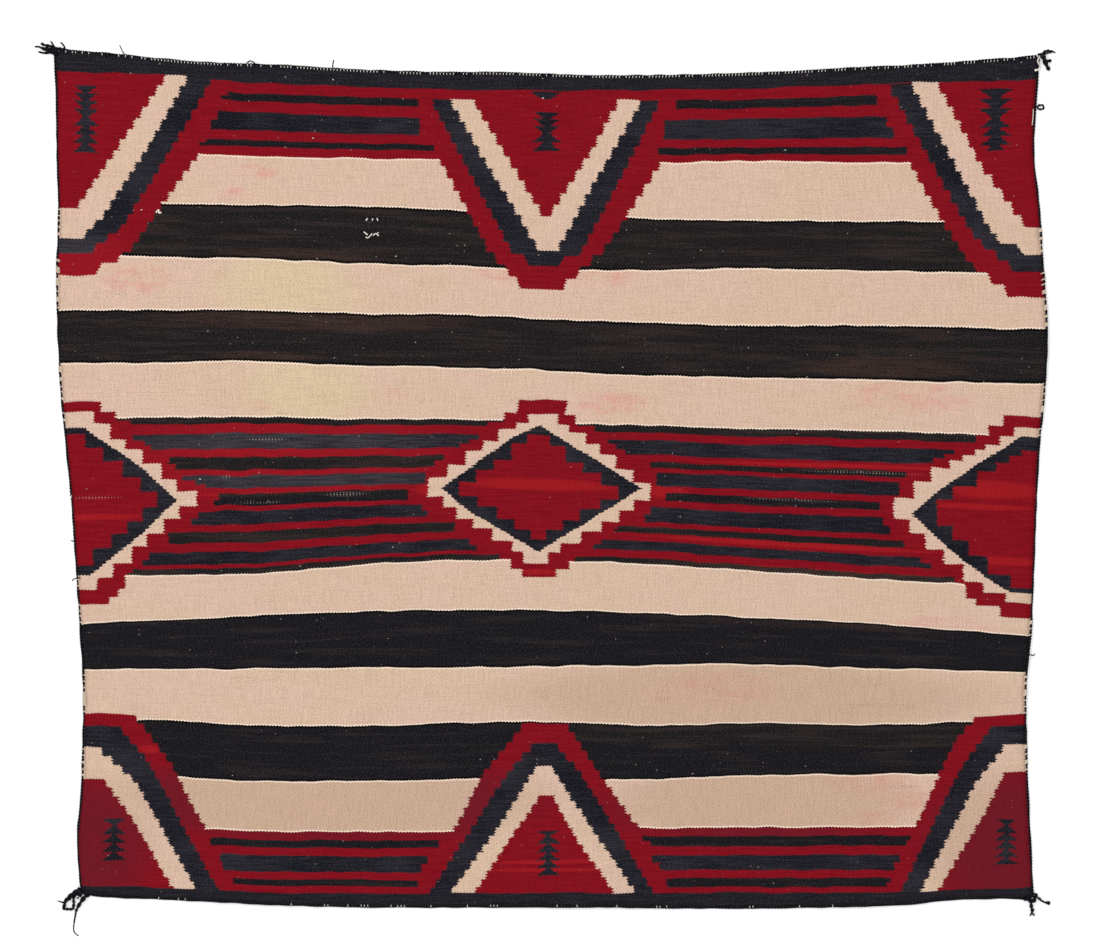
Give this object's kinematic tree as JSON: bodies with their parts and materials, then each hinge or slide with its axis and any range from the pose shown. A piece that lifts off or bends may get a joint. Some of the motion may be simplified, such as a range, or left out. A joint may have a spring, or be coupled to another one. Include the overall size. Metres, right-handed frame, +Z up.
{
  "type": "navajo rug",
  "caption": "Hand-woven flat wool rug with woven stripes and terraced motifs, corded edges and knotted corner ends, laid flat on a floor.",
  "frame": {"origin": "on the floor, under the middle of the rug's whole footprint", "axes": "+Z up out of the rug's face, +X along the long side, +Y from the bottom edge to the top edge as pictured"},
  "size_m": [1.7864, 1.567, 0.0082],
  "materials": {
    "tapestry_wool": "matt weft-faced wool, deep red with cream, indigo and brown-black bands",
    "edge_cord": "matt two-ply wool cord, blue-black",
    "corner_yarn": "matt frayed wool yarn, blue-black"
  },
  "bodies": {
    "root": {"web": "tapestry_wool", "end_cord_top": "edge_cord", "end_cord_bottom": "edge_cord", "side_cord_left": "edge_cord", "side_cord_right": "edge_cord", "tassel_top_left": "corner_yarn", "tassel_top_right": "corner_yarn", "tassel_bottom_left": "corner_yarn", "tassel_bottom_right": "corner_yarn"}
  },
  "joints": []
}
